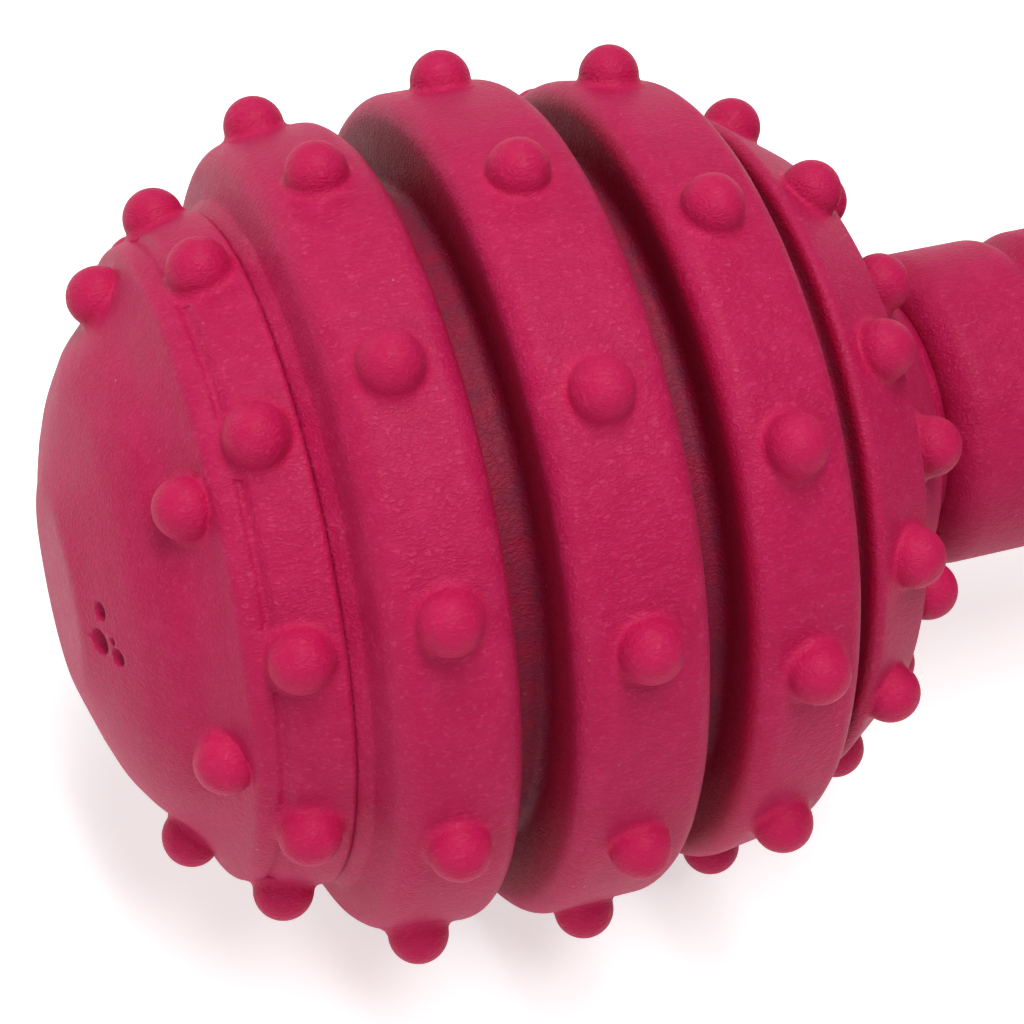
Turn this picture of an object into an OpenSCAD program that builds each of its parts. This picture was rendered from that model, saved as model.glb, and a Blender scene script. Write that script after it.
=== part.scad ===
// Dumbbell chew toy in soft rubber. Two hollow ribbed balls with nubs sit on a ringed handle,
// and a loose bell rattles in each ball. The toy lies along X on the nubs of its middle ribs.

/* [Balls] */
// Distance between the centres of the two balls
ball_span = 96.4; // [92:0.4:110]
// Radius of the hollow inside the ball
cavity_r = 20.5; // [19.5:0.1:21]
// Wall of the ball between its ribs, under the floor of the deep grooves
wall = 3.5; // [3:0.1:4]
// Rise of the glued seam's edge above the floor of the grooves
seam_rise = 0.4; // [0.2:0.1:0.8]
// Distance of the glued seam from the middle of the ball
seam_off = 18.3; // [18:0.1:18.8]
// Radius of the neck where the ball meets the handle
neck_r = 9.6; // [9:0.1:10.2]
// Distance of the neck's end face from the middle of the ball
neck_off = 32.6; // [32:0.1:34]
// Wall between the hollow's domed end and the neck's end face
neck_wall = 4.6; // [4:0.1:5.2]

/* [Ribs] */
// Height of the middle rib above the floor of the grooves
mid_rib_h = 6.6; // [6:0.1:7]
// Width of the middle rib
mid_rib_w = 9.6; // [8.8:0.1:10]
// Height of the two side ribs above the floor of the grooves
side_rib_h = 5.4; // [4.8:0.1:5.8]
// Width of the side ribs
side_rib_w = 8.6; // [8:0.1:9]
// Distance of the side ribs from the middle of the ball
side_rib_off = 12.2; // [12:0.1:12.6]
// Lean of the side ribs in degrees
side_rib_lean = 6; // [4:1:10]
// Drop of the neck rib's crest below the floor of the grooves
neck_rib_drop = 0.2; // [0:0.1:0.8]
// Width of the rib next to the handle
neck_rib_w = 7.4; // [7:0.1:7.8]
// Distance of the neck rib from the neck's end face
neck_rib_back = 10.7; // [10.4:0.1:11]
// Lean of the neck rib in degrees
neck_rib_lean = 34; // [30:1:38]
// Width of the narrow rib on the end cap
cap_rib_w = 4.6; // [4.2:0.1:4.8]
// Distance of the middle of the cap rib from the seam
cap_rib_step = 2.4; // [2.2:0.1:2.6]
// Lean of the cap rib in degrees
cap_rib_lean = 22; // [18:1:26]
// Rounding of the edges of the wide ribs
rib_round = 1.8; // [1.2:0.1:2.2]
// Rounding of the edges of the narrow cap rib
cap_rib_round = 0.9; // [0.6:0.1:1.2]

/* [End cap] */
// Distance of the flat end disc from the middle of the ball
disc_off = 32.8; // [32:0.1:34]
// Wall between the hollow's domed end and the flat end disc
disc_wall = 4.8; // [4:0.1:5.4]
// Radius of the flat in the middle of the end disc
disc_flat_r = 6.4; // [5.6:0.1:7]
// Radius of the raised end disc
disc_r = 10.4; // [9.8:0.1:11]
// Drop of the disc from its flat to its edge
disc_fall = 0.8; // [0.5:0.1:1]
// Height of the small step at the disc's edge
disc_step = 0.6; // [0.3:0.1:0.8]
// Drop of the rounded lip round the cap below the floor of the grooves
lip_drop = 0.7; // [0.4:0.1:1.1]
// Radius of the lip's round edge
lip_round = 0.95; // [0.7:0.05:1.1]
// Distance of the lip from the seam
lip_step = 5.6; // [5.4:0.1:6]
// Depth of the spigot that locates the cap in the ball
spigot_len = 4; // [3:0.1:5]
// Wall of the spigot
spigot_wall = 1.8; // [1.5:0.1:2.2]
// Gap between the spigot and its seat, filled with glue
glue_gap = 0.05; // [0.03:0.01:0.1]

/* [Sound holes] */
// Radius of the largest sound hole
big_hole_r = 0.9; // [0.6:0.05:1.1]
// Radius of the two smaller sound holes
small_hole_r = 0.6; // [0.4:0.05:0.8]
// Radius of the pinhole that has nearly closed up
pin_hole_r = 0.3; // [0.2:0.05:0.5]
// Distance of the hole group from the middle of the disc
hole_drop = 3.7; // [3.2:0.1:3.8]
// Spacing of the holes in the group
hole_step = 1.8; // [1.6:0.1:1.9]
// Direction of the hole group from the middle of the disc, in degrees from straight down
hole_turn = -47; // [-90:1:90]

/* [Nubs] */
// Radius of a nub's round dome
dome_r = 2.2; // [1.8:0.05:2.4]
// Radius of a nub at its foot
foot_r = 2.7; // [2.6:0.05:3]
// Depth of the foot below the dome's centre
foot_depth = 2.4; // [2:0.1:2.8]
// Height of a dome's centre above the rib
dome_rise = 0.4; // [0.2:0.05:0.6]
// Number of nubs in each rib's row
rib_nubs = 11; // [9:1:12]
// Number of nubs on the end cap's face
face_nubs = 6; // [5:1:8]
// Number of nubs beside the neck
neck_nubs = 10; // [8:1:10]
// Lean of the face nubs in degrees
face_nub_lean = 48; // [44:1:54]
// Distance of the neck nubs from the neck's end face
neck_nub_back = 6.2; // [5.8:0.1:6.4]
// Radius of the ring of neck nubs
neck_nub_r = 18.4; // [18:0.1:18.8]
// Lean of the neck nubs in degrees
neck_nub_lean = 48; // [44:1:54]

/* [Handle] */
// Radius of the handle's rings
ring_r = 12.2; // [11.6:0.1:13]
// Radius of the handle at the grooves between its rings
groove_r = 10.7; // [10.3:0.1:11]
// Number of rings on the handle
rings = 3; // [2:1:4]
// Rounding of the rings' edges
ring_round = 2.6; // [2:0.1:3]
// Radius of the plug at each end of the handle
plug_r = 7; // [6:0.1:7.6]
// Length of each plug
plug_len = 5.4; // [4.6:0.1:5.6]

/* [Bells] */
// Outer radius of the bell
bell_r = 9; // [8:0.1:9.4]
// Thickness of the bell's sheet metal
sheet = 0.5; // [0.4:0.05:0.7]
// Outer radius of the crimped rim
rim_r = 9.8; // [9.5:0.1:10.2]
// Height of each half of the crimped rim
rim_h = 0.6; // [0.5:0.05:0.8]
// Width of the crossed slots
slot_w = 1.5; // [1.2:0.1:1.8]
// Radius of the round hole at each slot's end
slot_end_r = 1.4; // [1.1:0.1:1.6]
// Height of the slots' end holes below the rim
slot_end_drop = 2.6; // [2.4:0.1:3]
// Radius of the pellet in the bell
pellet_r = 2.2; // [1.9:0.1:2.6]
// Radius of the wire loop, to the middle of its wire
loop_r = 2.3; // [2:0.1:2.6]
// Radius of the loop's wire
wire_r = 0.5; // [0.4:0.05:0.6]
// Free gap under the bell and under its pellet
rattle_gap = 0.25; // [0.15:0.05:0.3]

/* [Hidden] */
$fn = 96;
over = 1;
half_turn = 180;
quarter_turn = 90;
half_span = ball_span / 2;
floor_r = cavity_r + wall;
seam_r = floor_r + seam_rise;
mid_rib_r = floor_r + mid_rib_h;
side_rib_r = floor_r + side_rib_h;
neck_rib_r = floor_r - neck_rib_drop;
cap_rib_r = seam_r;
lip_r = floor_r - lip_drop;
outer_r = mid_rib_r + side_rib_r;
neck_rib_off = neck_off - neck_rib_back;
neck_nub_off = neck_off - neck_nub_back;
cap_rib_off = seam_off + cap_rib_step;
lip_off = seam_off + lip_step;
// Radii of the domed ends of the hollow
cap_dome_r = disc_off - disc_wall;
neck_dome_r = neck_off - neck_wall;
// The toy rests on two neighbouring nubs of each middle rib, which straddle straight down
nub_ring_r = mid_rib_r + dome_rise;
axis_z = nub_ring_r * cos(half_turn / rib_nubs) + dome_r;
// Turns of the rows of nubs against the middle row, in degrees
cap_row_turn = -4;
outer_row_turn = -7;
inner_row_turn = 9;
neck_row_turn = 0;
face_row_turn = 9;
collar_row_turn = -1;
// The slope from the outer side rib down to the seam
heel_r = seam_r + rib_round;
heel_off = seam_off - rib_round;
mid_rib_root = mid_rib_r - cavity_r - spigot_wall;
side_rib_root = side_rib_r - cavity_r - spigot_wall;
neck_rib_root = mid_rib_root / 2;
narrow_root = cap_rib_r - cavity_r;
// The band beside the neck, which carries the last row of nubs
band_r = neck_nub_r + dome_rise;
band_off = neck_nub_off - foot_depth / 2;
band_end_r = neck_r + foot_r;
band_end_off = neck_off - rib_round;
band_foot_off = neck_off - rib_round / 2;
ef_floor_r = floor_r - dome_rise;
ef_floor_off = side_rib_off + side_rib_w / 2 + dome_rise;
// The cap's face, from the lip down to the disc, as shares of the way between them
face_fall = disc_off - disc_fall - disc_step - lip_off;
face_run = lip_r - lip_round - disc_r;
face_shares = [[1, 0.12], [0.86, 0.16], [0.71, 0.32], [0.64, 0.5], [0.53, 0.68], [0.4, 0.84], [0.24, 0.95], [0.03, 1]];
// The ring of face nubs, as shares of the way from the disc to the lip and from the lip to the disc
face_nub_shares = [0.795, 0.307];
face_nub_r = disc_r + face_nub_shares[0] * face_run;
face_nub_off = lip_off + face_nub_shares[1] * face_fall;
lip_foot_r = lip_r - lip_round;
spigot_r = cavity_r + spigot_wall;
ring_w = (ball_span - 2 * neck_off) / rings;
grip_half = half_span - neck_off;
bell_z = axis_z - cavity_r + bell_r + rattle_gap;
inner_bell_r = bell_r - sheet;
pellet_z = bell_z - inner_bell_r + pellet_r + rattle_gap;
rubber_colour = "crimson";

// A rib's cross-section with rounded shoulders: its crest lies at the radius r, off along the axis
module rib(off, r, w, lean, edge, root) {
    translate([r, off]) rotate(lean) {
        translate([-root, -w / 2]) square([root - edge, w]);
        translate([-root, -w / 2 + edge]) square([root, w - 2 * edge]);
        for (side = [-1, 1]) translate([-edge, side * (w / 2 - edge)]) circle(edge);
    }
}

// The hollow inside a ball, drawn as half of its cross-section
module cavity_section() {
    intersection() {
        translate([0, -cap_dome_r]) square([cavity_r, cap_dome_r]);
        circle(cap_dome_r);
    }
    intersection() {
        translate([0, -over]) square([cavity_r, neck_dome_r + over]);
        circle(neck_dome_r);
    }
}

// One nub: a round dome on a foot that widens into the rib
module nub() {
    rotate_extrude() {
        intersection() {
            circle(dome_r);
            square([dome_r, dome_r]);
        }
        polygon([[0, -foot_depth], [foot_r, -foot_depth], [dome_r, 0], [0, 0]]);
    }
}

// A row of nubs round the ball, standing square to the surface
module nub_row(count, off, r, lean, turn) {
    first = half_turn / rib_nubs + turn;
    for (i = [0 : count - 1])
        rotate(first + i * 2 * half_turn / count)
            translate([r + dome_rise * cos(lean), 0, off + dome_rise * sin(lean)])
                rotate([0, quarter_turn - lean, 0]) nub();
}

// Ball shell in its own frame: Z runs along the toy, towards the handle, X points down
module ball_shell() {
    difference() {
        union() {
            rotate_extrude() intersection() {
                union() {
                    polygon([[0, -seam_off], [seam_r, -seam_off], [heel_r, -heel_off],
                        [floor_r, -heel_off], [floor_r, ef_floor_off], [ef_floor_r, ef_floor_off],
                        [band_r, band_off], [band_end_r, band_end_off], [neck_r, band_foot_off],
                        [neck_r, neck_off], [0, neck_off]]);
                    rib(0, mid_rib_r, mid_rib_w, 0, rib_round, mid_rib_root);
                    rib(-side_rib_off, side_rib_r, side_rib_w, -side_rib_lean, rib_round, side_rib_root);
                    rib(side_rib_off, side_rib_r, side_rib_w, side_rib_lean, rib_round, side_rib_root);
                    rib(neck_rib_off, neck_rib_r, neck_rib_w, neck_rib_lean, rib_round, neck_rib_root);
                }
                translate([0, -seam_off]) square([outer_r, seam_off + neck_off]);
            }
            nub_row(rib_nubs, -side_rib_off, side_rib_r, -side_rib_lean, outer_row_turn);
            nub_row(rib_nubs, 0, mid_rib_r, 0, 0);
            nub_row(rib_nubs, side_rib_off, side_rib_r, side_rib_lean, inner_row_turn);
            nub_row(rib_nubs, neck_rib_off, neck_rib_r, neck_rib_lean, neck_row_turn);
            nub_row(neck_nubs, neck_nub_off, neck_nub_r, neck_nub_lean, collar_row_turn);
        }
        rotate_extrude() cavity_section();
        translate([0, 0, -seam_off - over]) cylinder(h = spigot_len + glue_gap + over, r = spigot_r + glue_gap);
        cylinder(h = neck_off + over, r = plug_r + glue_gap);
    }
}

// End cap in the same frame, with its spigot reaching into the ball
module end_cap() {
    difference() {
        union() {
            rotate_extrude() {
                polygon(concat(
                    [[0, -seam_off], [seam_r - cap_rib_round, -seam_off], [lip_foot_r, -lip_off + lip_round]],
                    [[lip_foot_r, -lip_off]],
                    [for (p = face_shares) [disc_r + p[0] * face_run, -lip_off - p[1] * face_fall]],
                    [[disc_r, -disc_off + disc_fall + disc_step], [disc_r, -disc_off + disc_fall]],
                    [[disc_flat_r, -disc_off], [0, -disc_off]]));
                translate([lip_foot_r, -lip_off]) circle(lip_round);
                intersection() {
                    rib(-cap_rib_off, cap_rib_r, cap_rib_w, -cap_rib_lean, cap_rib_round, narrow_root);
                    translate([0, -lip_off]) square([outer_r, lip_off - seam_off]);
                }
                translate([0, -seam_off - over]) square([spigot_r, spigot_len + over]);
            }
            intersection() {
                nub_row(rib_nubs, -cap_rib_off, cap_rib_r, -cap_rib_lean, cap_row_turn);
                translate([0, 0, -disc_off]) cylinder(h = disc_off - seam_off, r = outer_r);
            }
            nub_row(face_nubs, -face_nub_off, face_nub_r, -face_nub_lean, face_row_turn);
        }
        rotate_extrude() cavity_section();
        translate([0, 0, -seam_off]) cylinder(h = spigot_len + over, r = cavity_r);
        rotate(hole_turn) translate([hole_drop, 0, -disc_off - over]) {
            translate([0, hole_step * 0.7, 0]) cylinder(h = disc_off, r = big_hole_r);
            translate([-hole_step, hole_step / 4, 0]) cylinder(h = disc_off, r = small_hole_r);
            translate([hole_step, -hole_step / 4, 0]) cylinder(h = disc_off, r = small_hole_r);
            translate([0, -hole_step * 0.8, 0]) cylinder(h = disc_off, r = pin_hole_r);
        }
    }
}

// Handle along Z: rounded rings side by side on a solid core, with a plug at each end
module handle_body() {
    rotate_extrude() {
        translate([0, -grip_half]) square([groove_r - ring_round / 2, 2 * grip_half]);
        for (i = [0 : rings - 1])
            rib(-grip_half + (i + 0.5) * ring_w, ring_r, ring_w, 0, ring_round, ring_r);
        for (i = [1 : rings - 1])
            translate([0, -grip_half + i * ring_w - ring_round / 2]) square([groove_r, ring_round]);
        translate([0, -grip_half - plug_len]) square([plug_r, 2 * (grip_half + plug_len)]);
    }
}

// Half of a bell's sheet, drawn above its rim
module bell_half_section() {
    difference() {
        intersection() {
            union() {
                circle(bell_r);
                square([rim_r, rim_h]);
            }
            square([rim_r, bell_r]);
        }
        circle(inner_bell_r);
    }
}

module bell_top() {
    rotate_extrude() bell_half_section();
}

// The lower half has two crossed slots, each with a round hole at both ends
module bell_bottom() {
    difference() {
        mirror([0, 0, 1]) rotate_extrude() bell_half_section();
        for (turn = [0, quarter_turn]) rotate(turn) {
            translate([-bell_r, -slot_w / 2, -bell_r - over])
                cube([2 * bell_r, slot_w, bell_r + over - slot_end_drop]);
            translate([-bell_r - over, 0, -slot_end_drop]) rotate([0, quarter_turn, 0])
                cylinder(h = 2 * (bell_r + over), r = slot_end_r);
        }
    }
}

// A wire ring that stands in the top of the bell
module bell_loop() {
    translate([0, 0, bell_r + loop_r - wire_r]) rotate([quarter_turn, 0, 0])
        rotate_extrude() translate([loop_r, 0]) circle(wire_r);
}

// Places a piece that is drawn along Z on the toy's axis, towards the handle
module at_ball() {
    translate([-half_span, 0, axis_z]) rotate([0, quarter_turn, 0]) children();
}

module at_bell() {
    translate([-half_span, 0, bell_z]) children();
}

module other_side() {
    mirror([1, 0, 0]) children();
}

module left_end_cap() { color(rubber_colour) at_ball() end_cap(); }
module left_ball_shell() { color(rubber_colour) at_ball() ball_shell(); }
module left_bell_top() { color("silver") at_bell() bell_top(); }
module left_bell_bottom() { color("silver") at_bell() bell_bottom(); }
module left_bell_loop() { color("silver") at_bell() bell_loop(); }
module left_bell_pellet() { color("dimgray") translate([-half_span, 0, pellet_z]) sphere(pellet_r); }
module handle() { color(rubber_colour) translate([0, 0, axis_z]) rotate([0, quarter_turn, 0]) handle_body(); }
module right_ball_shell() { color(rubber_colour) other_side() left_ball_shell(); }
module right_end_cap() { color(rubber_colour) other_side() left_end_cap(); }
module right_bell_top() { color("silver") other_side() left_bell_top(); }
module right_bell_bottom() { color("silver") other_side() left_bell_bottom(); }
module right_bell_loop() { color("silver") other_side() left_bell_loop(); }
module right_bell_pellet() { color("dimgray") other_side() left_bell_pellet(); }

left_end_cap();
left_ball_shell();
left_bell_top();
left_bell_bottom();
left_bell_loop();
left_bell_pellet();
handle();
right_ball_shell();
right_end_cap();
right_bell_top();
right_bell_bottom();
right_bell_loop();
right_bell_pellet();
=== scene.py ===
import math

import bmesh
import bpy
from mathutils import Matrix, Vector, kdtree, noise


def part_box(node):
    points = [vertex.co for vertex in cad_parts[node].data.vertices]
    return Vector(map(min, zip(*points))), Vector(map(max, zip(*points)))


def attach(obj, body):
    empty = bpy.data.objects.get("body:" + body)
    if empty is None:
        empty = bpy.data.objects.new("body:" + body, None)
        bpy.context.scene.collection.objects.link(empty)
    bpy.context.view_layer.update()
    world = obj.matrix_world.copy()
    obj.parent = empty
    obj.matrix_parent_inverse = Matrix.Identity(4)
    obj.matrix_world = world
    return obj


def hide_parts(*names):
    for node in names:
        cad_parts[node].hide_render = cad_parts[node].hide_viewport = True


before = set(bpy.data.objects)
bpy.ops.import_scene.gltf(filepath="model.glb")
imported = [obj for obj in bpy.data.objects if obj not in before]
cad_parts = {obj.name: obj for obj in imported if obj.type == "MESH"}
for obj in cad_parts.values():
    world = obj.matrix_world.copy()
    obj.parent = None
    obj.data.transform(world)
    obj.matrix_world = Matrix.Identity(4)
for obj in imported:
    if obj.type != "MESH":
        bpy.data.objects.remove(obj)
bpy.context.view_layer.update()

# Ball shell: the hollow ribbed ball, moulded in one with its rows of nubs.
# Soft pink natural rubber, compression moulded, so its skin has the fine leathery grain
# of the mould and a pale bloom, with dust left in the deep grooves.
MM = 0.001
handle_low, handle_high = (Vector(corner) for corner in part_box("handle"))
pellet_low, pellet_high = (Vector(corner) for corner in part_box("left_bell_pellet"))
axis_z = (handle_low.z + handle_high.z) / 2
ball_x = -(pellet_low.x + pellet_high.x) / 2

# Distances along the ball from its middle, and radii round it, in millimetres
SEAM = -18.3
SEAM_R = 24.3
CAVITY_R = 20.5
DOME_END_R = 28.0
PLUG_BORE_R = 7.05
SEAT_R = 22.35
SEAT_DEPTH = 4.05
NECK_END = 32.6
# The outside from the seam to the neck: a distance, a radius and the rounding at each point
shell_outside = [
    (SEAM, SEAM_R, 0.0), (-18.05, 24.5, 0.12), (-17.3, 25.2, 0.7), (-16.45, 28.75, 2.2),
    (-8.0, 29.7, 1.7), (-8.25, 24.0, 0.9), (-4.65, 24.0, 0.9), (-4.8, 30.6, 1.7),
    (4.8, 30.6, 1.7), (4.65, 24.0, 0.9), (8.25, 24.0, 0.9), (8.0, 29.7, 1.7),
    (16.35, 28.6, 1.5), (16.9, 24.0, 0.7), (18.3, 23.5, 0.5), (18.75, 25.9, 1.0),
    (24.95, 21.7, 1.0), (24.2, 20.3, 0.5), (25.4, 19.0, 0.8), (30.6, 12.4, 1.6),
    (31.7, 9.8, 0.7), (NECK_END, 9.6, 0.0)]


def round_corners(points, step=0.22, most_of_side=0.49):
    """The outline through the points, with each corner turned into an arc of its rounding."""
    outline = []
    for i, (x, y, rounding) in enumerate(points):
        corner = Vector((x, y))
        if rounding == 0 or i in (0, len(points) - 1):
            outline.append(corner)
            continue
        before = Vector(points[i - 1][:2]) - corner
        after = Vector(points[i + 1][:2]) - corner
        half = before.angle(after) / 2
        run = min(rounding / math.tan(half), before.length * most_of_side,
                  after.length * most_of_side)
        radius = run * math.tan(half)
        start = corner + before.normalized() * run
        end = corner + after.normalized() * run
        inward = (before.normalized() + after.normalized()).normalized()
        middle = corner + inward * radius / math.sin(half)
        turn = math.pi - 2 * half
        pieces = max(2, int(radius * turn / step) + 1)
        side = 1 if (start - middle).cross(end - middle) > 0 else -1
        for k in range(pieces + 1):
            angle = side * turn * k / pieces
            outline.append(middle + Matrix.Rotation(angle, 2) @ (start - middle))
    return outline


def divide(outline, longest=0.9):
    """The same outline with no stretch longer than the given length."""
    result = [outline[0]]
    for a, b in zip(outline, outline[1:]):
        count = max(1, math.ceil((b - a).length / longest))
        result += [a.lerp(b, k / count) for k in range(1, count + 1)]
    return result


def mesh_object(name, mesh):
    """An object in the scene from a finished mesh, with its faces turned outwards."""
    bmesh.ops.recalc_face_normals(mesh, faces=mesh.faces)
    data = bpy.data.meshes.new(name)
    mesh.to_mesh(data)
    mesh.free()
    made = bpy.data.objects.new(name, data)
    bpy.context.scene.collection.objects.link(made)
    return made


def revolve(name, section, segments=300, on_axis=1e-4):
    """A closed solid: the section, a distance along and a radius at each point,
    turned about the toy's axis."""
    mesh = bmesh.new()
    rings = []
    for along, radius in section:
        if radius < on_axis:
            rings.append([mesh.verts.new((along, 0, 0))])
            continue
        rings.append([mesh.verts.new((along, radius * math.cos(t), radius * math.sin(t)))
                      for t in (2 * math.pi * k / segments for k in range(segments))])
    for low, high in zip(rings, rings[1:] + rings[:1]):
        if len(low) == 1 and len(high) == 1:
            continue
        for k in range(segments):
            n = (k + 1) % segments
            if len(low) == 1:
                mesh.faces.new((low[0], high[n], high[k]))
            elif len(high) == 1:
                mesh.faces.new((low[k], low[n], high[0]))
            else:
                mesh.faces.new((low[k], low[n], high[n], high[k]))
    return mesh_object(name, mesh)


def cavity_arc(first, last, steps=14):
    """Points on the hollow's domed end, between two distances along the ball."""
    a, b = math.acos(first / DOME_END_R), math.acos(last / DOME_END_R)
    angles = [a + (b - a) * k / steps for k in range(steps + 1)]
    return [Vector((DOME_END_R * math.cos(t), DOME_END_R * math.sin(t))) for t in angles]


# The nubs grow out of the ribs. Each is a round dome on a short foot, which flares
# into the skin it stands on.
NUB_R = 2.2
NUB_RISE = 0.4
FLARE_R = 2.95
NUB_SEGMENTS = 32
DOME_RINGS = 12
# The outline of a nub: a radius, and a height over the dome's middle
nub_outline = [Vector((NUB_R * math.cos(t), NUB_R * math.sin(t)))
               for t in (math.radians(90 - 90 * k / DOME_RINGS) for k in range(DOME_RINGS + 1))]
nub_outline += [Vector(point) for point in (
    (2.22, -0.14), (2.27, -0.25), (2.38, -0.34), (2.58, -0.38), (FLARE_R, -0.4), (FLARE_R, -1.3))]
# From this point of the outline on, the foot bends onto the skin, and it ends just under it
FLARE_START = DOME_RINGS + 3
UNDER_SKIN = 0.015


def nearest_on(p, a, b, shortest=1e-9):
    """The place nearest to p on the straight stretch from a to b."""
    along = b - a
    share = max(0.0, min(1.0, (p - a).dot(along) / max(along.length_squared, shortest)))
    return a + along * share


def onto_skin(point, skin):
    """The nearest place to the point on the turned skin, at the same angle round the axis."""
    radius = math.hypot(point.y, point.z)
    flat = Vector((point.x, radius))
    best = min((nearest_on(flat, a, b) for a, b in zip(skin, skin[1:])),
               key=lambda near: (flat - near).length)
    return Vector((best.x, point.y * best.y / radius, point.z * best.y / radius))


def add_nubs(mesh, skin, domes, last, count, along, radius, lean, turn, uneven):
    """A row of nubs, each square to the skin and blended into it at its foot. None reaches
    beyond last. The mould isn't quite even: some nubs stand a little round the row, in
    degrees, or beside it, in millimetres."""
    lean = math.radians(lean)
    row_place = Vector((along, radius))
    last_of_flare = len(nub_outline) - 1
    for i in range(count):
        round_row, beside = uneven.get(i, (0.0, 0.0))
        along, radius = row_place + Vector((math.cos(lean), -math.sin(lean))) * beside
        angle = math.radians(turn + round_row + 360 * i / count - 90)
        out = Vector((0, math.cos(angle), math.sin(angle)))
        normal = (out * math.cos(lean) + Vector((math.sin(lean), 0, 0))).normalized()
        side = Vector((0, -math.sin(angle), math.cos(angle)))
        across = normal.cross(side)
        centre = Vector((along, 0, 0)) + out * radius + normal * NUB_RISE
        domes.append(centre)
        rings = []
        for k, (rho, height) in enumerate(nub_outline):
            level = centre + normal * height
            if k == 0:
                rings.append([mesh.verts.new(level)])
                continue
            ring = []
            for j in range(NUB_SEGMENTS):
                t = 2 * math.pi * j / NUB_SEGMENTS
                place = level + (across * math.cos(t) + side * math.sin(t)) * rho
                if FLARE_START <= k < last_of_flare:
                    share = (k - FLARE_START + 1) / (last_of_flare - FLARE_START)
                    place = place.lerp(onto_skin(place, skin) - normal * UNDER_SKIN, share)
                place.x = min(place.x, last)
                ring.append(mesh.verts.new(place))
            rings.append(ring)
        for a, b in zip(rings, rings[1:]):
            for j in range(NUB_SEGMENTS):
                n = (j + 1) % NUB_SEGMENTS
                if len(a) == 1:
                    mesh.faces.new((a[0], b[j], b[n]))
                else:
                    mesh.faces.new((a[j], b[j], b[n], a[n]))
        mesh.faces.new(reversed(rings[-1]))


def join_solids(target, other, operation):
    """Unites two closed meshes, or cuts one out of the other, and applies the result."""
    modifier = target.modifiers.new("join", "BOOLEAN")
    modifier.solver = "MANIFOLD"
    modifier.operation = operation
    modifier.object = other
    graph = bpy.context.evaluated_depsgraph_get()
    result = bpy.data.meshes.new_from_object(target.evaluated_get(graph))
    target.modifiers.clear()
    target.data = result
    bpy.data.objects.remove(other)


# The waviness of soft rubber: its depth in millimetres, how many waves a millimetre has, and
# the shares of the depth for the short waves and for those along the toy. The skin is drawn
# in by a share of the depth too, so that the waves stay inside the toy's size.
WOBBLE = 0.14
LONG_WAVE = 0.06
SHORT_WAVE = 0.25
SHORT_SHARE = 0.3
ALONG_SHARE = 0.4
DRAWN_IN = 0.7
# noise_vector takes its offsets from this seed, so the waves are the same on every run
noise.seed_set(7)
# Dents in the cap's face, where the rubber sank in as it cooled: their depth in millimetres,
# their waves in a millimetre, how much of the face they take, and where they fade out
DENT = 0.4
DENT_WAVE = 0.12
DENT_REACH = 0.35
DENT_ALONG_FADE = (-24.0, -27.0)
DENT_ROUND_FADE = (5.0, 9.0)
WOBBLE_FADE = (12, 18)
# Where the finish, the painted highlight on the nubs and the painted shade on the groove walls
# change, in the ball's own millimetres. Each fade is where a mark starts and where it is full:
# from a nub's middle, or as a radius in the grooves.
NUB_FADE = (3.0, 2.4)
NO_NUB_NEAR = 99.0
DUST_FADE = (25.0, 24.2)
DUST_LOW_R = 22
DUST_START = -9.0
DUST_END = 18.6
# The walls of the grooves, which get painted shade: from where to where along the ball,
# and up to which radius
groove_walls = ((-8.6, -4.4, 28.2), (4.4, 8.6, 28.2), (16.2, 18.9, 24.9))
WALL_LOW_R = 20
WALL_FADE = 1.2


def part_way(value, none, full):
    """0 at none, 1 at full, and a share of the way in between."""
    return max(0.0, min(1.0, (value - none) / (full - none)))


def marks_at(p, radius, near):
    """How much of a place is nub, groove dust and groove walls with painted shade. The walls
    of the grooves are painted a darker pink, as shade."""
    nub = part_way(near, *NUB_FADE)
    dusty = DUST_START < p.x < DUST_END and radius > DUST_LOW_R
    dust = part_way(radius, *DUST_FADE) if dusty else 0.0
    tops = [top for start, end, top in groove_walls if start < p.x < end]
    in_groove = tops and radius > WALL_LOW_R
    wall = part_way(radius, tops[0] + WALL_FADE, tops[0]) if in_groove else 0.0
    return nub, dust, wall


def settle(piece, centre_x, flip, domes, seed):
    """Moves a piece from the ball's own millimetres into the frame, with the slight waviness
    of soft rubber, and marks where its finish, painted shade and painted highlight change."""
    nearest_dome = kdtree.KDTree(len(domes))
    for i, dome in enumerate(domes):
        nearest_dome.insert(dome, i)
    nearest_dome.balance()
    marks = []
    for v in piece.data.vertices:
        p = v.co.copy()
        radius = math.hypot(p.y, p.z)
        marks.append(marks_at(p, radius, nearest_dome.find(p)[2] if domes else NO_NUB_NEAR))
        wobble = noise.noise_vector(p * LONG_WAVE + Vector((seed, 0, 0))) * WOBBLE
        short = noise.noise_vector(p * SHORT_WAVE + Vector((0, seed, 0)))
        wobble += short * WOBBLE * SHORT_SHARE
        wobble.x *= ALONG_SHARE
        wobble -= Vector((0, p.y, p.z)) * (WOBBLE * DRAWN_IN / max(radius, 1.0))
        face = part_way(p.x, *DENT_ALONG_FADE) * part_way(radius, *DENT_ROUND_FADE)
        depth = noise.noise(p * DENT_WAVE + Vector((seed, seed, 0))) + DENT_REACH
        dent = Vector((1.0, 0, 0)) * (DENT * max(0.0, depth))
        place = p + wobble * part_way(radius, *WOBBLE_FADE) + dent * face
        x = -place.x if flip else place.x
        v.co = Vector((centre_x + x * MM, place.y * MM, axis_z + place.z * MM))
    for name, values in zip(("nub", "dust", "wall"), zip(*marks)):
        mark = piece.data.attributes.new(name, "FLOAT", "POINT")
        mark.data.foreach_set("value", values)
    if flip:
        piece.data.flip_normals()
    for face in piece.data.polygons:
        face.use_smooth = True


RIB_NUBS = 11
FIRST = 180 / RIB_NUBS
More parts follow.
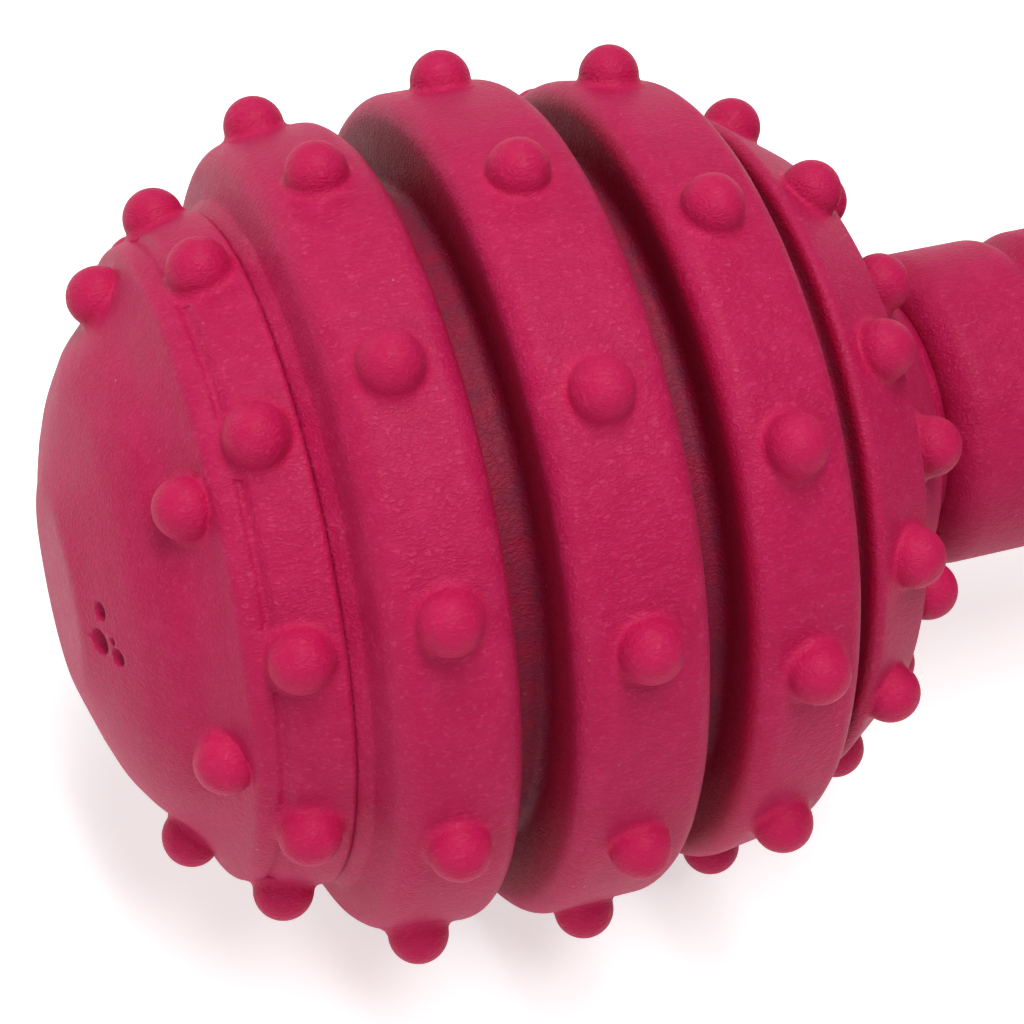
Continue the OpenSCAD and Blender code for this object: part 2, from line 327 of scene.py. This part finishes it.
# The rows of nubs: how many, the distance along the ball, the radius, the lean and the turn in
# degrees, and the turn and shift of each nub that stands unevenly
shell_rows = [
    (RIB_NUBS, -12.2, 29.35, -6, FIRST - 7,
     {4: (-0.1, -0.6), 5: (-2.7, -0.3), 6: (-1.8, -0.6), 7: (-1.2, -0.4), 8: (0.9, -0.6),
      9: (2.2, -0.9)}),
    (RIB_NUBS, 0.0, 30.6, 0, FIRST,
     {4: (0.6, 0.2), 5: (0.8, -0.3), 6: (0.5, -0.3), 9: (-1.0, -0.2)}),
    (RIB_NUBS, 12.2, 29.35, 6, FIRST + 9,
     {2: (-3.0, 0.0), 3: (-7.0, 0.0), 4: (-3.6, -0.2), 5: (1.4, -0.4), 6: (2.8, 0.0),
      7: (1.0, 0.2)}),
    (RIB_NUBS, 21.9, 23.75, 34, FIRST,
     {5: (-1.5, 0.5), 6: (-0.3, 0.4), 7: (2.3, 0.4), 8: (-3.0, -0.8)}),
    (10, 26.4, 18.35, 48, FIRST - 1, {5: (-1.8, -0.4), 6: (0.5, 0.6)})]


def make_ball_shell(name, centre_x, flip, seed):
    """One ball, open at the seam, with its hollow, the cap's seat and the plug's bore."""
    outside = divide(round_corners(shell_outside))
    straight_end = math.sqrt(DOME_END_R ** 2 - CAVITY_R ** 2)
    bore_start = math.sqrt(DOME_END_R ** 2 - PLUG_BORE_R ** 2)
    inside = [Vector((NECK_END, PLUG_BORE_R))] + cavity_arc(bore_start, straight_end)
    inside += [Vector((SEAM + SEAT_DEPTH, CAVITY_R)), Vector((SEAM + SEAT_DEPTH, SEAT_R)),
               Vector((SEAM, SEAT_R))]
    shell = revolve(name, outside + divide(inside, 3.0))
    nubs = bmesh.new()
    domes = []
    for row in shell_rows:
        add_nubs(nubs, outside, domes, NECK_END, *row)
    join_solids(shell, mesh_object(name + "_nubs", nubs), "UNION")
    settle(shell, centre_x, flip, domes, seed)
    return shell


def linear(hex_colour):
    """An sRGB hex colour as linear values for a shader."""
    channels = [int(hex_colour[i:i + 2], 16) / 255 for i in (1, 3, 5)]
    return [c / 12.92 if c <= 0.04045 else ((c + 0.055) / 1.055) ** 2.4
            for c in channels] + [1.0]


def add_node(tree, kind, inputs=None, **settings):
    """One shader node with its settings, and its inputs set or linked."""
    made = tree.nodes.new(kind)
    for key, value in settings.items():
        setattr(made, key, value)
    for key, value in (inputs or {}).items():
        if isinstance(value, bpy.types.NodeSocket):
            tree.links.new(value, made.inputs[key])
        else:
            made.inputs[key].default_value = value
    return made


def moulded_pink_rubber():
    """Matte natural rubber: the mould's grain in its skin, a pale bloom where light grazes,
    dust in the grooves, painted shade in a darker pink on their walls and in the grain's
    creases, and painted highlights on the grain's ridges and on the nubs."""
    material = bpy.data.materials.new("moulded pink natural rubber")
    material.use_nodes = True
    tree = material.node_tree
    tree.nodes.clear()
    place = add_node(tree, "ShaderNodeTexCoord").outputs["Object"]
    nub, dust, wall = (add_node(tree, "ShaderNodeAttribute", attribute_name=name).outputs["Fac"]
                       for name in ("nub", "dust", "wall"))
    # The pigment is stirred in unevenly, in clouds 9 mm across under a mottle of 1.6 mm
    cloud = add_node(tree, "ShaderNodeTexNoise",
                     {"Vector": place, "Scale": 1 / (9 * MM), "Detail": 3.0})
    mottle = add_node(tree, "ShaderNodeTexNoise",
                      {"Vector": place, "Scale": 1 / (1.6 * MM), "Detail": 4.0})
    pale = add_node(tree, "ShaderNodeMapRange",
                    {"Value": mottle.outputs["Fac"], "From Min": 0.45, "From Max": 0.75,
                     "To Max": 0.35})
    # The mould's fine wrinkles, about 0.25 mm apart and longer along the toy than round it
    drawn = add_node(tree, "ShaderNodeVectorMath", {0: place, 1: (0.6, 1.0, 1.0)},
                     operation="MULTIPLY")
    wrinkle = add_node(tree, "ShaderNodeTexNoise",
                       {"Vector": drawn.outputs["Vector"], "Scale": 1 / (0.25 * MM),
                        "Detail": 2.0, "Roughness": 0.45, "Distortion": 0.9})
    crease = add_node(tree, "ShaderNodeMapRange",
                      {"Value": wrinkle.outputs["Fac"], "From Min": 0.36, "From Max": 0.66},
                      interpolation_type="SMOOTHSTEP")
    # Painted shade darkens the wrinkles' creases, and a painted highlight lightens their ridges
    deep = add_node(tree, "ShaderNodeMapRange",
                    {"Value": crease.outputs[0], "To Min": 0.12, "To Max": 0.0})
    ridge_highlight = add_node(tree, "ShaderNodeMapRange",
                     {"Value": wrinkle.outputs["Fac"], "From Min": 0.58, "From Max": 0.74,
                      "To Max": 0.22})
    # Dust: specks 1.3 mm apart in some patches of 2.6 mm, and a grey film in the grooves
    speck = add_node(tree, "ShaderNodeTexVoronoi", {"Vector": place, "Scale": 1 / (1.3 * MM)})
    speck = add_node(tree, "ShaderNodeMapRange",
                     {"Value": speck.outputs["Distance"], "From Min": 0.05, "From Max": 0.08,
                      "To Min": 1.0, "To Max": 0.0})
    sparse = add_node(tree, "ShaderNodeTexNoise",
                      {"Vector": place, "Scale": 1 / (2.6 * MM), "Detail": 1.0})
    sparse = add_node(tree, "ShaderNodeMapRange",
                      {"Value": sparse.outputs["Fac"], "From Min": 0.62, "From Max": 0.68})
    speck = add_node(tree, "ShaderNodeMath", {0: speck.outputs[0], 1: sparse.outputs[0]},
                     operation="MULTIPLY")
    speck = add_node(tree, "ShaderNodeMath", {0: speck.outputs[0], 1: 0.35},
                     operation="MULTIPLY")
    film = add_node(tree, "ShaderNodeMath", {0: dust, 1: mottle.outputs["Fac"]},
                    operation="MULTIPLY")
    # Painted highlight: the nubs are painted a little brighter than the skin round them
    nub_highlight = add_node(tree, "ShaderNodeMath", {0: nub, 1: 0.45}, operation="MULTIPLY")
    colour = add_node(tree, "ShaderNodeMix",
                      {"Factor": cloud.outputs["Fac"], "A": linear("#A60A42"),
                       "B": linear("#B4144E")}, data_type="RGBA")
    # Painted shade in creases and on groove walls, and painted highlights on ridges and nubs
    for share, tint in ((pale.outputs[0], "#C22C60"), (deep.outputs[0], "#8A0A30"),
                        (ridge_highlight.outputs[0], "#D25A80"), (nub_highlight.outputs[0], "#C0144C"),
                        (wall, "#9C0030"), (film.outputs[0], "#5C2238"),
                        (speck.outputs[0], "#E8B4C0")):
        colour = add_node(tree, "ShaderNodeMix",
                          {"Factor": share, "A": colour.outputs["Result"], "B": linear(tint)},
                          data_type="RGBA")
    rough = add_node(tree, "ShaderNodeMapRange",
                     {"Value": mottle.outputs["Fac"], "To Min": 0.44, "To Max": 0.62})
    fine = add_node(tree, "ShaderNodeBump",
                    {"Height": crease.outputs[0], "Strength": 0.8, "Distance": 0.045 * MM})
    soft = add_node(tree, "ShaderNodeBump",
                    {"Height": mottle.outputs["Fac"], "Strength": 0.5, "Distance": 0.16 * MM,
                     "Normal": fine.outputs["Normal"]})
    shader = add_node(tree, "ShaderNodeBsdfPrincipled", {
        "Base Color": colour.outputs["Result"], "Roughness": rough.outputs[0],
        "Normal": soft.outputs["Normal"], "IOR": 1.5, "Specular IOR Level": 0.15,
        "Sheen Weight": 0.03, "Sheen Roughness": 0.4, "Sheen Tint": linear("#F4B8C8"),
        "Subsurface Weight": 0.12, "Subsurface Radius": (1.0, 0.2, 0.2),
        "Subsurface Scale": 1.2 * MM})
    add_node(tree, "ShaderNodeOutputMaterial", {"Surface": shader.outputs["BSDF"]})
    return material


pink_rubber = moulded_pink_rubber()


def dress(piece, node):
    """Gives a rubber piece its finish and lets it stand for its CAD node on the toy's body."""
    piece.data.materials.clear()
    piece.data.materials.append(pink_rubber)
    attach(piece, "toy")
    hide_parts(node)


for side, centre, flip, seed in (("left", -ball_x, False, 0.0), ("right", ball_x, True, 3.0)):
    dress(make_ball_shell(side + "_ball_skin", centre, flip, seed), side + "_ball_shell")

# End cap: closes the ball at the thin glued seam between the first two ribs.
# The same rubber, moulded apart, with a rounded lip, a ring of nubs on its face
# and a flat disc. A few small holes beside the disc let the bell sound out.
DISC_END = -32.8
GLUE_GAP = 0.05
cap_outside = [
    (SEAM, SEAM_R, 0.0), (-18.5, 24.75, 0.3), (-22.3, 23.8, 0.8), (-22.9, 23.1, 0.35),
    (-23.4, 23.35, 0.6), (-24.7, 22.95, 1.1), (-25.3, 21.4, 4.0), (-26.6, 19.0, 7.0),
    (-28.6, 17.0, 9.0), (-30.2, 14.6, 9.0), (-31.2, 12.0, 5.0), (-31.75, 10.3, 2.5),
    (-32.75, 7.2, 5.0), (DISC_END, 0.0, 0.0)]
cap_rows = [
    (RIB_NUBS, -20.7, 24.25, -16, FIRST - 4,
     {4: (-5.2, -0.2), 5: (-3.6, -0.4), 6: (-2.3, -0.5), 7: (0.2, -0.6), 8: (2.1, -0.7),
      9: (2.2, -0.9)}),
    (6, -26.2, 19.75, -48, FIRST + 9,
     {2: (1.4, 0.0), 3: (8.1, 0.3), 4: (0.0, 0.3), 5: (-3.0, -0.2)})]
# Each hole's place below and across from the middle of the face, and its radius
sound_holes = [(-3.6, -9.0, 1.0), (-5.9, -8.4, 0.7), (-4.0, -11.1, 0.7), (-4.8, -10.3, 0.3)]
DRILL_MIDDLE = -29
DRILL_LENGTH = 12
DRILL_SEGMENTS = 28


def make_end_cap(name, centre_x, flip, seed):
    """One cap with its spigot, its nubs and its sound holes drilled through into the hollow."""
    outside = divide(round_corners(cap_outside))
    straight_end = -math.sqrt(DOME_END_R ** 2 - CAVITY_R ** 2)
    inside = cavity_arc(-DOME_END_R, straight_end)
    spigot_end = SEAM + SEAT_DEPTH - GLUE_GAP
    inside += [Vector((spigot_end, CAVITY_R)), Vector((spigot_end, SEAT_R - GLUE_GAP)),
               Vector((SEAM, SEAT_R - GLUE_GAP))]
    cap = revolve(name, outside + divide(inside, 3.0))
    nubs = bmesh.new()
    domes = []
    for row in cap_rows:
        add_nubs(nubs, outside, domes, SEAM, *row)
    join_solids(cap, mesh_object(name + "_nubs", nubs), "UNION")
    drills = bmesh.new()
    for down, across, radius in sound_holes:
        place = Matrix.Translation((DRILL_MIDDLE, across, -down))
        bmesh.ops.create_cone(drills, cap_ends=True, segments=DRILL_SEGMENTS, radius1=radius,
                              radius2=radius, depth=DRILL_LENGTH,
                              matrix=place @ Matrix.Rotation(math.pi / 2, 4, "Y"))
    join_solids(cap, mesh_object(name + "_drills", drills), "DIFFERENCE")
    settle(cap, centre_x, flip, domes, seed)
    return cap


for side, centre, flip, seed in (("left", -ball_x, False, 5.0), ("right", ball_x, True, 7.0)):
    dress(make_end_cap(side + "_cap_skin", centre, flip, seed), side + "_end_cap")

# Handle: three thick rounded rings side by side, which the dog grips.
# The same rubber, solid right through, glued into both balls by a plug at each end.
half_grip = handle_high.x
RINGS = 3
RING_R = 12.2
RING_ROUND = 2.6
GROOVE_R = 10.7
GROOVE_ROUND = 0.3
GROOVE_RUN = 1.3
GROOVE_EDGE = 1.9
PLUG_END_R = 7.0
PLUG_LEN = 5.4
PLUG_ROUND = 0.5


def make_handle(name):
    """The rings in one solid with both plugs."""
    half = half_grip / MM - PLUG_LEN
    width = 2 * half / RINGS
    points = [(-half - PLUG_LEN, 0.0, 0.0), (-half - PLUG_LEN, PLUG_END_R, PLUG_ROUND),
              (-half, PLUG_END_R, 0.0), (-half, RING_R, RING_ROUND)]
    for i in range(1, RINGS):
        groove = -half + i * width
        points += [(groove - GROOVE_RUN, RING_R, GROOVE_EDGE), (groove, GROOVE_R, GROOVE_ROUND),
                   (groove + GROOVE_RUN, RING_R, GROOVE_EDGE)]
    points += [(half, RING_R, RING_ROUND), (half, PLUG_END_R, 0.0),
               (half + PLUG_LEN, PLUG_END_R, PLUG_ROUND), (half + PLUG_LEN, 0.0, 0.0)]
    grip = revolve(name, divide(round_corners(points)), 220)
    settle(grip, 0.0, False, [], 11.0)
    return grip


dress(make_handle("handle_grip"), "handle")

# Bell: a jingle bell rattles loose in each ball, out of sight.
# Two pressed steel half shells crimped together at the rim, nickel plated, with a wire loop
# and a plain steel pellet inside. Nickel is a warm silver with a soft shine.


def pressed_steel(name, colour, roughness, grain):
    """Bright metal with the faint drag lines of pressing. They are drawn at the given grain,
    in millimetres, which is coarser than the real lines, so that they show."""
    material = bpy.data.materials.new(name)
    material.use_nodes = True
    tree = material.node_tree
    tree.nodes.clear()
    place = add_node(tree, "ShaderNodeTexCoord").outputs["Object"]
    cloud = add_node(tree, "ShaderNodeTexNoise",
                     {"Vector": place, "Scale": 1 / (grain * MM), "Detail": 5.0})
    tint = add_node(tree, "ShaderNodeMix",
                    {"Factor": cloud.outputs["Fac"], "A": linear(colour),
                     "B": linear("#F2EEE6")}, data_type="RGBA")
    rough = add_node(tree, "ShaderNodeMapRange",
                     {"Value": cloud.outputs["Fac"], "To Min": roughness * 0.7,
                      "To Max": roughness * 1.4})
    bump = add_node(tree, "ShaderNodeBump",
                    {"Height": cloud.outputs["Fac"], "Strength": 0.2, "Distance": 0.02 * MM})
    shader = add_node(tree, "ShaderNodeBsdfPrincipled", {
        "Base Color": tint.outputs["Result"], "Metallic": 1.0, "Roughness": rough.outputs[0],
        "Normal": bump.outputs["Normal"]})
    add_node(tree, "ShaderNodeOutputMaterial", {"Surface": shader.outputs["BSDF"]})
    return material


nickel = pressed_steel("nickel plated pressed steel", "#C9C4BA", 0.22, 0.8)
bare_steel = pressed_steel("plain steel ball", "#A9A8A6", 0.35, 0.5)
for side in ("left", "right"):
    for part, metal in (("top", nickel), ("bottom", nickel), ("loop", nickel),
                        ("pellet", bare_steel)):
        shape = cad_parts[side + "_bell_" + part]
        shape.data.materials.clear()
        shape.data.materials.append(metal)

# Floor: a plain white sheet under soft light, with white all round it.
# It is white to the camera and in reflections, and it keeps the toy's soft shadow.
FLOOR_HALF = 1.6


def shows_background(tree):
    """1 for a ray that shows the background itself: to the camera, in gloss or through glass."""
    ray = add_node(tree, "ShaderNodeLightPath")
    seen = add_node(tree, "ShaderNodeMath",
                    {0: ray.outputs["Is Camera Ray"], 1: ray.outputs["Is Glossy Ray"]},
                    operation="MAXIMUM")
    return add_node(tree, "ShaderNodeMath",
                    {0: seen.outputs[0], 1: ray.outputs["Is Transmission Ray"]},
                    operation="MAXIMUM").outputs[0]


def white_sheet():
    """Matte white paper. It glows a little more with distance from the toy, in metres, so
    that it goes over into the white background, and less near the toy, for the shadow."""
    material = bpy.data.materials.new("matte white sheet")
    material.use_nodes = True
    tree = material.node_tree
    tree.nodes.clear()
    place = add_node(tree, "ShaderNodeTexCoord").outputs["Object"]
    away = add_node(tree, "ShaderNodeVectorMath", {0: place}, operation="LENGTH")
    away = add_node(tree, "ShaderNodeMapRange",
                    {"Value": away.outputs["Value"], "From Min": 0.16, "From Max": 0.5,
                     "To Min": 0.56, "To Max": 1.0}, interpolation_type="SMOOTHSTEP")
    glow = add_node(tree, "ShaderNodeMath", {0: shows_background(tree), 1: away.outputs[0]},
                    operation="MULTIPLY")
    shader = add_node(tree, "ShaderNodeBsdfPrincipled", {
        "Base Color": linear("#F0F0F0"), "Roughness": 0.9, "Specular IOR Level": 0.1,
        "Emission Color": linear("#FFFFFF"), "Emission Strength": glow.outputs[0]})
    add_node(tree, "ShaderNodeOutputMaterial", {"Surface": shader.outputs["BSDF"]})
    return material


floor_mesh = bmesh.new()
bmesh.ops.create_grid(floor_mesh, x_segments=1, y_segments=1, size=FLOOR_HALF)
floor = mesh_object("floor", floor_mesh)
floor.data.materials.append(white_sheet())

# Studio: white as a background, but only a faint light from all round.
# One long softbox overhead lies along the grooves, and two weak ones light the capped end.
world = bpy.data.worlds.new("studio")
world.use_nodes = True
world.node_tree.nodes.clear()
sky_level = add_node(world.node_tree, "ShaderNodeMapRange",
                     {"Value": shows_background(world.node_tree), "To Min": 0.08,
                      "To Max": 1.0})
sky = add_node(world.node_tree, "ShaderNodeBackground",
               {"Color": linear("#FFFFFF"), "Strength": sky_level.outputs[0]})
add_node(world.node_tree, "ShaderNodeOutputWorld", {"Surface": sky.outputs["Background"]})
bpy.context.scene.world = world


def softbox(name, place, aim, width, depth, power):
    """A flat lamp, with its place and size in metres and its power in watts."""
    lamp = bpy.data.lights.new(name, "AREA")
    lamp.shape = "RECTANGLE"
    lamp.size = width
    lamp.size_y = depth
    lamp.energy = power
    made = bpy.data.objects.new(name, lamp)
    made.location = place
    made.rotation_euler = (Vector(aim) - Vector(place)).to_track_quat("-Z", "Y").to_euler()
    bpy.context.scene.collection.objects.link(made)


left_ball = (-0.048, 0.0, axis_z)
softbox("overhead", (-0.03, -0.16, 0.75), left_ball, 0.2, 0.75, 6.1)
softbox("front_left", (-0.62, -0.5, 0.3), left_ball, 0.4, 0.4, 1.5)
softbox("back_left", (-0.5, 0.5, 0.35), left_ball, 0.4, 0.4, 1.2)

# Camera: a long lens close to the left ball, looking down on it from its capped end.
# The handle runs out of the picture at the right, as in the photograph.
CAMERA_AT = Vector((-105.8, -136.3, 177.5)) * MM
CAMERA_AIM = Vector((-47.1, -1.2, 31.3)) * MM
CAMERA_ROLL = math.radians(5.1)
LENS = 98.6
SENSOR = 36
NEAREST = 10 * MM
camera_data = bpy.data.cameras.new("camera")
camera_data.lens = LENS
camera_data.sensor_width = SENSOR
camera_data.clip_start = NEAREST
camera = bpy.data.objects.new("camera", camera_data)
facing = (CAMERA_AIM - CAMERA_AT).to_track_quat("-Z", "Y").to_matrix().to_4x4()
camera.matrix_world = (Matrix.Translation(CAMERA_AT) @ facing
                       @ Matrix.Rotation(CAMERA_ROLL, 4, "Z"))
bpy.context.scene.collection.objects.link(camera)
bpy.context.scene.camera = camera
bpy.context.scene.view_settings.view_transform = "Standard"
